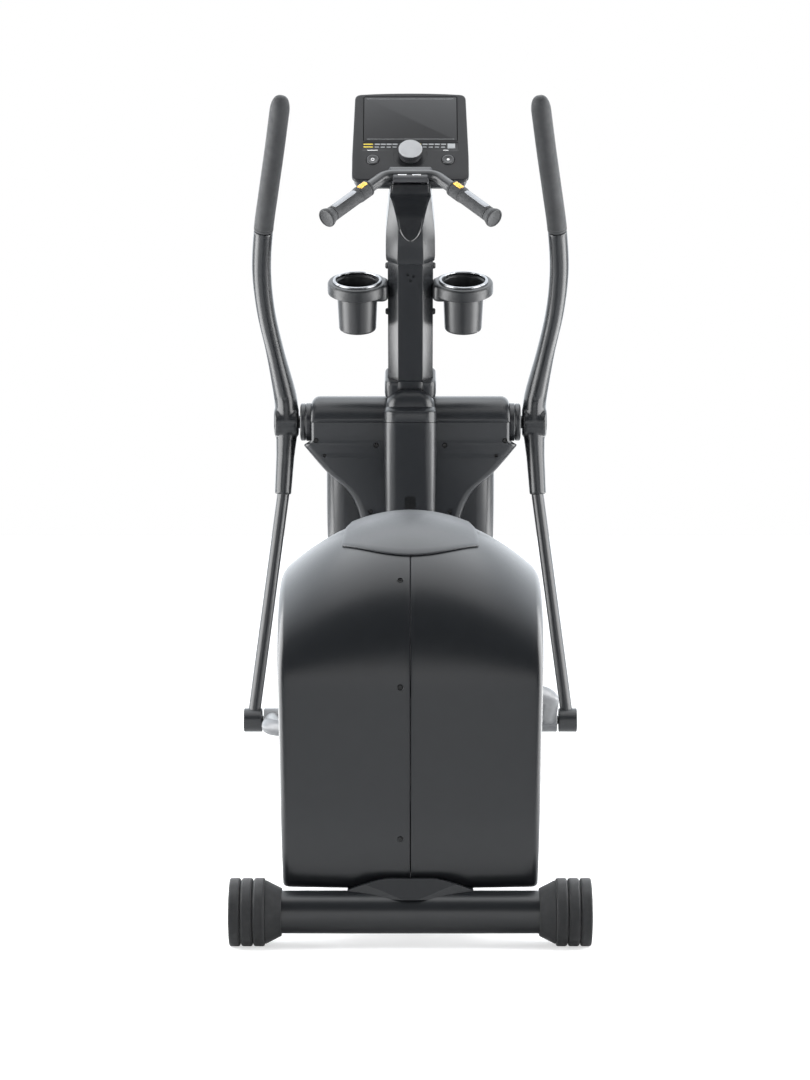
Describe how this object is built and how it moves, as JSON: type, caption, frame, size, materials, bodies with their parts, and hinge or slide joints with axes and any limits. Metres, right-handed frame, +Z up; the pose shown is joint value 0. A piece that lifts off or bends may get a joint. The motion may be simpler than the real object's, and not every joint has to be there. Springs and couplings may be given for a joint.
{
  "type": "elliptical trainer",
  "caption": "Front-mast elliptical trainer: rear crank housing, swing arms with pedal links, leaning mast with console, cup holders and fixed handlebar.",
  "frame": {"origin": "on the floor, midway between the machine's two ends and its two sides", "axes": "+X to the user's right, +Y forward (the way the user faces), +Z up"},
  "size_m": [0.786, 2.0999, 1.6927],
  "materials": {
    "charcoal_plastic": "fine-grained satin moulding",
    "gloss_plastic": "smooth dark moulding",
    "rubber": "moulded rubber",
    "frame_paint": "satin powder coat",
    "link_paint": "light grey powder coat",
    "pedal_plastic": "textured moulding",
    "steel": "zinc-plated",
    "flywheel_iron": "turned casting",
    "pulley_plastic": "glass-filled moulding",
    "bright_plate": "brushed satin",
    "screen_glass": "dark display window",
    "circuit_board": "solder-masked board",
    "silver_plastic": "silver painted",
    "button_black": "smooth key",
    "button_yellow": "orange-yellow key"
  },
  "bodies": {
    "root": {"housing_left": "charcoal_plastic", "housing_right": "charcoal_plastic", "housing_cap": "charcoal_plastic", "housing_trim": "charcoal_plastic", "shroud_left": "charcoal_plastic", "shroud_right": "charcoal_plastic", "crossbar_upper": "charcoal_plastic", "crossbar_lower": "charcoal_plastic", "spine_cover": "charcoal_plastic", "end_rings": "charcoal_plastic", "neck_cover": "charcoal_plastic", "mast_collar": "charcoal_plastic", "console_back": "charcoal_plastic", "cup_holder_left": "charcoal_plastic", "cup_holder_right": "charcoal_plastic", "handlebar_plate": "charcoal_plastic", "neck_shield": "gloss_plastic", "console_front": "gloss_plastic", "foot_caps": "rubber", "handlebar_grips": "rubber", "grip_ends": "rubber", "drive_belt": "rubber", "base_beam": "frame_paint", "rear_tower": "frame_paint", "front_tower": "frame_paint", "pivot_tube": "frame_paint", "rear_stabilizer": "frame_paint", "front_stabilizer": "frame_paint", "mast_post": "frame_paint", "flywheel_bracket": "frame_paint", "handlebar": "frame_paint", "panel_screws": "steel", "crank_bearings": "steel", "pulse_plates": "bright_plate", "cup_rings": "bright_plate", "console_display": "screen_glass", "console_board": "circuit_board"},
    "crankset": {"crank_shaft": "steel", "crank_arms": "steel", "crank_pulley": "pulley_plastic"},
    "flywheel_unit": {"flywheel": "flywheel_iron"},
    "right_swing_arm": {"swing_arm_right": "frame_paint", "swing_cover_right": "gloss_plastic", "swing_grip_right": "rubber"},
    "left_swing_arm": {"swing_arm_left": "frame_paint", "swing_cover_left": "gloss_plastic", "swing_grip_left": "rubber"},
    "right_pedal_link": {"pedal_arm_right": "link_paint", "pedal_right": "pedal_plastic", "pedal_tread_right": "rubber"},
    "left_pedal_link": {"pedal_arm_left": "link_paint", "pedal_left": "pedal_plastic", "pedal_tread_left": "rubber"},
    "right_wheel": {"transport_wheel_right": "rubber"},
    "left_wheel": {"transport_wheel_left": "rubber"},
    "console_knob": {"knob_dial": "silver_plastic"},
    "right_console_button": {"button_right": "button_black"},
    "left_console_button": {"button_left": "button_black"},
    "right_grip_button": {"grip_button_right": "button_yellow"},
    "left_grip_button": {"grip_button_left": "button_yellow"}
  },
  "joints": [
    {"name": "crank_turn", "type": "hinge", "parent": "root", "child": "crankset", "pos_m": [0, -0.656, 0.435], "axis": [-1, 0, 0], "range_deg": [0, 80]},
    {"name": "flywheel_spin", "type": "hinge", "parent": "root", "child": "flywheel_unit", "pos_m": [0, -0.462, 0.3], "axis": [-1, 0, 0], "range_deg": [-5, 690]},
    {"name": "right_swing", "type": "hinge", "parent": "root", "child": "right_swing_arm", "pos_m": [0.29, 0.444, 0.946], "axis": [1, 0, 0], "range_deg": [-1, 24]},
    {"name": "left_swing", "type": "hinge", "parent": "root", "child": "left_swing_arm", "pos_m": [-0.29, 0.444, 0.946], "axis": [1, 0, 0], "range_deg": [-19, 1]},
    {"name": "right_link_turn", "type": "hinge", "parent": "right_swing_arm", "child": "right_pedal_link", "pos_m": [0.325, 0.444, 0.242], "axis": [1, 0, 0], "range_deg": [-9, 1]},
    {"name": "left_link_turn", "type": "hinge", "parent": "left_swing_arm", "child": "left_pedal_link", "pos_m": [-0.325, 0.444, 0.242], "axis": [1, 0, 0], "range_deg": [-1, 8]},
    {"name": "right_wheel_roll", "type": "hinge", "parent": "root", "child": "right_wheel", "pos_m": [0.15, 1.019, 0.038], "axis": [1, 0, 0], "continuous": true},
    {"name": "left_wheel_roll", "type": "hinge", "parent": "root", "child": "left_wheel", "pos_m": [-0.15, 1.019, 0.038], "axis": [1, 0, 0], "continuous": true},
    {"name": "knob_turn", "type": "hinge", "parent": "root", "child": "console_knob", "pos_m": [0, 0.1526, 1.54328], "axis": [0, -0.8121, 0.5835], "continuous": true},
    {"name": "right_console_press", "type": "slide", "parent": "root", "child": "right_console_button", "axis": [0, 0.8121, -0.5835], "range_m": [0, 0.0012], "stiffness_N_per_m": 800, "springref_m": -0.0005},
    {"name": "left_console_press", "type": "slide", "parent": "root", "child": "left_console_button", "axis": [0, 0.8121, -0.5835], "range_m": [0, 0.0012], "stiffness_N_per_m": 800, "springref_m": -0.0005},
    {"name": "right_grip_press", "type": "slide", "parent": "root", "child": "right_grip_button", "axis": [-0.0509, 0.6043, -0.7951], "range_m": [0, 0.001], "stiffness_N_per_m": 800, "springref_m": -0.0005},
    {"name": "left_grip_press", "type": "slide", "parent": "root", "child": "left_grip_button", "axis": [0.0509, 0.6043, -0.7951], "range_m": [0, 0.001], "stiffness_N_per_m": 800, "springref_m": -0.0005}
  ],
  "couplings": [
    {"joint": "flywheel_spin", "follows": "crank_turn", "ratio": 8.5},
    {"joint": "right_swing", "follows": "crank_turn", "ratio": 0.27909},
    {"joint": "left_swing", "follows": "crank_turn", "ratio": -0.21179},
    {"joint": "right_link_turn", "follows": "crank_turn", "ratio": -0.094312},
    {"joint": "left_link_turn", "follows": "crank_turn", "ratio": 0.085388}
  ]
}
